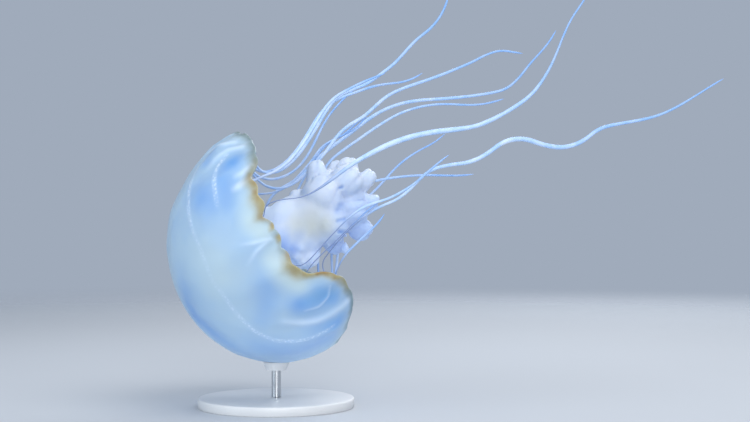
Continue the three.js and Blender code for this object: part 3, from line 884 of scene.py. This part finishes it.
def arms_skin():
    mesh = joined_arms()
    edges = edges_of(mesh)
    places = softened_arms(mesh, edges)
    set_points(mesh, places)
    depth, up, _ = seen_from_axis(places)
    flat = np.column_stack([depth, up])
    places = places + normals_of(mesh) * frill_relief(places, edges)[:, None]
    _, _, near = seen_from_axis(places)
    gap = gaps_on(flat) * (near > GAP_NEARNESS)
    places = places - np.outer(GAP_DEPTH * gap, NEARWARD)
    set_points(mesh, places)
    near_side = ease(near, 0, 8)
    marks = dict(
        # how hollow each place is, for painted shade in creases and painted highlight on bulges
        crease_shade_and_highlight=((smoothed(places, edges, 14) - places) * normals_of(mesh)).sum(axis=1),
        gap=gap,
        # painted shade: the lower lobes are tinted bluer and darker
        lower_shade=fall(up, -19, -3) * ease(depth, 84, 98),
        # painted glow, in place of light, deep under the bell and on the lower lobes
        glow_in_shade=np.maximum(fall(depth, 72, 100), 0.9 * fall(up, -18, -4)),
        # painted light on the white places, where the bell shades the trunk
        white=spots_on(flat, PAINTED_LIGHT_PLACES) * near_side,
        # painted bluish shade on the blue places, under the bell's margin
        blue=spots_on(flat, PAINTED_BLUE_SHADE_PLACES) * near_side,
        # painted shade on the dusky places about the trunk
        painted_dusk=spots_on(flat, PAINTED_SHADE_PLACES) * near_side,
        cream=spots_on(flat, CREAM_PLACES))
    return marked_object("arms_skin", mesh, marks)


# ---------- stand


def turned_form(name, profile, sides=128):
    """Round form about the vertical line through the origin, from [radius, height] rows."""
    angles = np.radians(360 * np.arange(sides) / sides)
    ring = np.stack([np.cos(angles), np.sin(angles)], -1)
    rows = [np.column_stack([ring * radius, np.full(sides, height)]) for radius, height in profile]
    ends = np.array([[0, 0, profile[0][1]], [0, 0, profile[-1][1]]])
    return mesh_object(name, np.vstack(rows + [ends]), tube_faces(len(profile), sides))


def rounded_corner(radius, height, size, steps=6):
    """Rows of a rounded outer corner whose sharp point would be at (radius, height)."""
    turns = np.radians(90 * np.arange(steps + 1) / steps)
    return [[radius - size * (1 - math.cos(t)), height - size * (1 - math.sin(t))] for t in turns]


def stand_base_form():
    foot = 0.5
    profile = [[BASE_RADIUS * 0.5, 0], [BASE_RADIUS - foot, 0], [BASE_RADIUS, foot]]
    profile += rounded_corner(BASE_RADIUS, BASE_HEIGHT, 1.2)
    profile += [[BASE_RADIUS * 0.8, BASE_HEIGHT], [ROD_RADIUS * 2, BASE_HEIGHT]]
    return turned_form("stand_base_form", profile)


# ---------- materials


class Nodes:
    """A material's node tree, with short calls for the kinds of node used here."""

    def __init__(self, name):
        self.material = bpy.data.materials.new(name)
        self.material.use_nodes = True
        self.tree = self.material.node_tree
        self.tree.nodes.clear()
        self.shader = self.node("BsdfPrincipled")
        self.node("OutputMaterial", surface=self.shader.outputs[0])

    def node(self, kind, **inputs):
        """A node, with numbers, colours or other nodes' outputs at its inputs."""
        node = self.tree.nodes.new("ShaderNode" + kind)
        self.fill(node, inputs)
        return node

    def fill(self, node, inputs):
        for name, value in inputs.items():
            self.feed(node.inputs[name.replace("_", " ").title().replace("Ior", "IOR")], value)

    def feed(self, socket, value):
        """Sets a socket to a number or colour, or joins another node's output to it."""
        if isinstance(value, (int, float, tuple)):
            socket.default_value = value
        else:
            self.tree.links.new(value, socket)

    def shade(self, **inputs):
        """What the shader is given: constants, or other nodes' outputs."""
        self.fill(self.shader, inputs)

    def mark(self, name):
        node = self.node("Attribute")
        node.attribute_name = name
        return node.outputs["Fac"]

    def place(self):
        return self.node("TexCoord").outputs["Object"]

    def noise(self, scale, detail=3, rough=0.5):
        node = self.node("TexNoise", scale=scale, detail=detail, roughness=rough,
                         vector=self.place())
        return node.outputs["Fac"]

    def cells(self, scale):
        return self.node("TexVoronoi", scale=scale, vector=self.place()).outputs["Distance"]

    def ramp(self, source, low, high, start=0.0, end=1.0):
        node = self.node("MapRange", value=source, from_min=low, from_max=high,
                         to_min=start, to_max=end)
        node.interpolation_type = "SMOOTHSTEP"
        return node.outputs["Result"]

    def math(self, kind, a, b):
        node = self.node("Math")
        node.operation = kind
        self.feed(node.inputs[0], a)
        self.feed(node.inputs[1], b)
        return node.outputs[0]

    def times(self, a, b):
        return self.math("MULTIPLY", a, b)

    def blend(self, amount, a, b):
        node = self.node("Mix")
        node.data_type = "RGBA"
        for number, value in {0: amount, 6: a, 7: b}.items():
            self.feed(node.inputs[number], value)
        return node.outputs[2]

    def tint(self, body, amount, *shade):
        """The body's colour, turned to a shade from the 0 to 255 scale by some amount."""
        return self.blend(amount, body, colour(*shade))

    def mottle(self, source, dark, light, low=0.35):
        """Between two shades, as some noise lies low or high."""
        return self.blend(self.ramp(source, low, 1 - low), colour(*dark), colour(*light))

    def surface(self, body, source, smooth, rough):
        """The shader's colour, and a roughness that varies with some noise."""
        self.shade(base_color=body, roughness=self.ramp(source, 0.3, 0.7, smooth, rough))

    def bump(self, height, distance, strength):
        node = self.node("Bump", strength=strength, distance=distance, height=height)
        self.shade(normal=node.outputs["Normal"])


def colour(red, green, blue):
    """Linear colour from the usual 0 to 255 scale."""
    def linear(value):
        share = value / 255
        return share / 12.92 if share <= 0.04045 else ((share + 0.055) / 1.055) ** 2.4
    return (linear(red), linear(green), linear(blue), 1.0)


def jelly(nodes, painted_glow, weight, depth, light):
    """Milky flesh, with a painted glow of the given strength, which lightens places in shade."""
    nodes.shade(emission_strength=painted_glow, emission_color=colour(*light))
    nodes.shade(subsurface_weight=weight, subsurface_radius=(0.8, 0.9, 1.0),
                subsurface_scale=depth, ior=1.36, specular_ior_level=0.25)


def bell_material():
    nodes = Nodes("bell_jelly")
    times, mark, ramp, tint = nodes.times, nodes.mark, nodes.ramp, nodes.tint
    broad = nodes.noise(28, 2)
    fine = nodes.noise(120, 4, 0.6)
    body = nodes.mottle(broad, (158, 187, 214), (168, 194, 214))
    # Bluer where the jelly is thin, and painted shade on the lower outline and the lower rim.
    body = tint(body, times(mark("blue"), ramp(broad, 0.3, 0.6, 0.8, 1)), 94, 149, 214)
    body = tint(body, mark("cream"), 190, 208, 212)
    body = tint(body, ramp(mark("from_edge"), 4, 16, 0.5, 0), 178, 194, 198)
    body = tint(body, times(mark("white"), 0.75), 210, 226, 244)
    beads = times(ramp(mark("bead_distance"), 0.5, 2.2, 1, 0), mark("bead_strength"))
    beads = times(beads, ramp(nodes.cells(560), 0.25, 0.6, 1, 0.1))
    ridge = times(ramp(mark("bead_distance"), 0.3, 3.2, 1, 0), mark("bead_strength"))
    body = tint(body, times(ridge, 0.22), 204, 221, 240)
    body = tint(body, times(beads, 0.65), 216, 228, 244)
    wander = times(nodes.math("SUBTRACT", nodes.noise(70, 3), 0.5), 7.0)
    edge = nodes.math("DIVIDE", nodes.math("ADD", mark("from_edge"), wander), mark("band_width"))
    # Painted light: the band's stain and brown spots are weaker on the inner side, which lies in
    # shade.
    outer = nodes.math("SUBTRACT", 1.0, times(mark("inside"), 0.6))
    stain = times(ramp(edge, 0.1, 1.5, 0.9, 0), ramp(fine, 0.3, 0.62, 0.85, 1))
    stain = times(times(stain, outer), ramp(mark("faint"), 0, 1, 1, 0.5))
    band = nodes.blend(mark("ripe"), colour(118, 131, 127), colour(162, 148, 96))
    body = nodes.blend(stain, body, band)
    spots = times(ramp(edge, 0.1, 0.95, 0.7, 0), ramp(nodes.noise(80, 2), 0.48, 0.66))
    body = tint(body, times(spots, times(outer, mark("ripe"))), 144, 110, 52)
    nodes.surface(body, fine, 0.28, 0.42)
    nodes.bump(nodes.math("ADD", times(beads, 0.6), times(fine, 0.2)), 0.0006, 0.5)
    # Painted glow: a little emission low on the bell lightens its shaded underside.
    jelly(nodes, times(mark("under"), 0.17), 0.6, 0.005, (160, 196, 240))
    return nodes.material


def arms_material():
    nodes = Nodes("arm_frills")
    times, mark, ramp, tint = nodes.times, nodes.mark, nodes.ramp, nodes.tint
    fine = nodes.noise(200, 4, 0.6)
    body = nodes.mottle(nodes.noise(60, 2), (200, 213, 232), (210, 220, 236))
    # Painted shade: the lower lobes bluer and darker.
    body = tint(body, times(mark("lower_shade"), 0.8), 142, 170, 216)
    body = tint(body, times(mark("cream"), 0.9), 202, 207, 202)
    # Painted shade: bluer and darker on the dusky places about the trunk.
    body = tint(body, times(mark("painted_dusk"), 0.45), 142, 170, 216)
    # Painted shade in the creases, and painted highlight on the bulges.
    body = tint(body, ramp(mark("crease_shade_and_highlight"), 0.15, 1.2, 0, 0.55), 132, 164, 218)
    body = tint(body, ramp(mark("crease_shade_and_highlight"), -0.7, -0.1, 0.5, 0), 214, 226, 246)
    # Painted light: whiter on the white places, where the bell shades the trunk.
    body = tint(body, times(mark("white"), 0.8), 226, 236, 248)
    # Painted shade: bluer and darker on the blue places, under the bell's margin.
    body = tint(body, times(mark("blue"), 0.8), 122, 162, 224)
    # Painted shade: the gaps between the frills darker blue.
    body = tint(body, times(mark("gap"), 0.8), 112, 156, 220)
    nodes.surface(body, fine, 0.4, 0.55)
    nodes.bump(fine, 0.0004, 0.4)
    # Painted glow: a little emission deep under the bell and on the lower lobes lightens their
    # shade.
    jelly(nodes, times(mark("glow_in_shade"), 0.16), 0.7, 0.006, (205, 222, 248))
    return nodes.material


def tentacle_material(number):
    nodes = Nodes(f"tentacle_{number}_thread")
    mark, ramp, tint = nodes.mark, nodes.ramp, nodes.tint
    fine = nodes.noise(130, 3, 0.5)
    body = nodes.mottle(fine, (172, 204, 246), (196, 218, 250))
    body = tint(body, ramp(mark("knots"), 0.05, 0.45, 0, 0.25), 236, 242, 252)
    begin, end, fade, colouring = THREADS.get(number, OTHER_THREAD)
    thread = ramp(mark("from_root"), end - THREAD_FADE, end + fade, colouring, 0)
    if begin:
        thread = nodes.times(thread, ramp(mark("from_root"), begin - THREAD_COLOUR_RUN, begin))
    body = tint(body, thread, 108, 124, 168)
    body = tint(body, ramp(mark("share"), 0.45, 1, 0, 0.6), 102, 158, 230)
    nodes.surface(body, fine, 0.45, 0.6)
    nodes.bump(fine, 0.0001, 0.15)
    nodes.shade(ior=1.36, specular_ior_level=0.2)
    return nodes.material


def paint_material():
    nodes = Nodes("stand_satin_paint")
    wear = nodes.noise(30, 3)
    body = nodes.mottle(wear, (212, 214, 216), (220, 221, 222), 0.3)
    nodes.surface(body, wear, 0.38, 0.5)
    nodes.bump(nodes.noise(900, 3, 0.6), 0.00006, 0.6)
    nodes.shade(coat_weight=0.15, coat_roughness=0.3)
    return nodes.material


def steel_material():
    nodes = Nodes("stand_brushed_steel")
    stretch = nodes.node("Mapping", scale=(1, 1, 0.02), vector=nodes.place())
    grain = nodes.node("TexNoise", scale=2600, vector=stretch.outputs[0]).outputs["Fac"]
    body = nodes.mottle(grain, (176, 180, 184), (206, 209, 212), 0.3)
    nodes.surface(body, grain, 0.22, 0.36)
    nodes.bump(grain, 0.00003, 0.5)
    nodes.shade(metallic=1.0)
    return nodes.material


def floor_material():
    nodes = Nodes("studio_floor")
    body = nodes.blend(nodes.noise(4, 2), colour(196, 200, 205), colour(199, 203, 208))
    nodes.shade(base_color=body, roughness=0.8, specular_ior_level=0.1)
    distance = nodes.node("VectorMath", vector=nodes.place())
    distance.operation = "LENGTH"
    nodes.shade(alpha=nodes.ramp(distance.outputs["Value"], 0.35, 1.6, 1, 0))
    return nodes.material


# ---------- dressing


def dress(piece, material, slot, *nodes):
    piece.data.materials.clear()
    piece.data.materials.append(material)
    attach(piece, "root")
    if nodes:
        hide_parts(*nodes)


def dress_animal():
    skirts = [f"bell_skirt_{index}" for index in range(1, 9)]
    dress(bell_skin(), bell_material(), "bell", "bell_crown", *skirts)
    arms = [f"oral_arm_{name}" for name in ARM_LOBES]
    dress(arms_skin(), arms_material(), "arms", "manubrium", *arms)
    for number, tentacle in enumerate(TENTACLES, 1):
        nodes = [f"tentacle_{number}_{part}" for part in ("inner", "outer")]
        dress(tentacle_skin(number, tentacle), tentacle_material(number), "tentacle", *nodes)


def dress_stand():
    paint = paint_material()
    dress(stand_base_form(), paint, "stand_paint", "stand_base")
    for name, material in {"stand_rod": steel_material(), "stand_saddle": paint}.items():
        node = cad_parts[name]
        node.data.materials.clear()
        node.data.materials.append(material)


def studio():
    bpy.context.scene.view_settings.view_transform = "Standard"
    world = bpy.data.worlds.new("studio")
    bpy.context.scene.world = world
    world.use_nodes = True
    background = world.node_tree.nodes["Background"].inputs
    background["Color"].default_value = colour(160, 171, 187)
    background["Strength"].default_value = 1.0
    floor = turned_form("floor", [[900, -0.5], [1800, -0.5], [1800, 0], [900, 0]])
    floor.data.materials.append(floor_material())
    lamps = [
        ["key", (0.5, -0.6, 1.4), 1.1, 10.5, (1.0, 0.98, 0.95)],
        ["front", (0.15, -1.9, 0.45), 1.0, 18.5, (1.0, 0.99, 0.97)],
        ["fill", (-1.2, -0.8, 0.35), 0.8, 6, (0.82, 0.92, 1.0)],
        ["back", (0.5, 1.1, 0.8), 1.0, 8, (0.98, 0.99, 1.0)],
    ]
    aim = Vector((0.05, 0, 0.12))
    for name, place, size, power, tint in lamps:
        light = bpy.data.lights.new(name, "AREA")
        light.shape = "DISK"
        light.size = size
        light.energy = power
        light.color = tint
        lamp = object_of(name, light)
        lamp.location = place
        lamp.rotation_euler = (aim - Vector(place)).to_track_quat("-Z", "Y").to_euler()
        lamp.visible_camera = False


def camera():
    lens = bpy.data.cameras.new("camera")
    lens.lens = 70
    lens.sensor_width = 36
    eye = object_of("camera", lens)
    eye.location = (0.06315, -0.9332, 0.1251)
    eye.rotation_euler = (math.radians(90), 0, 0)
    bpy.context.scene.camera = eye


camera()
dress_animal()
dress_stand()
studio()
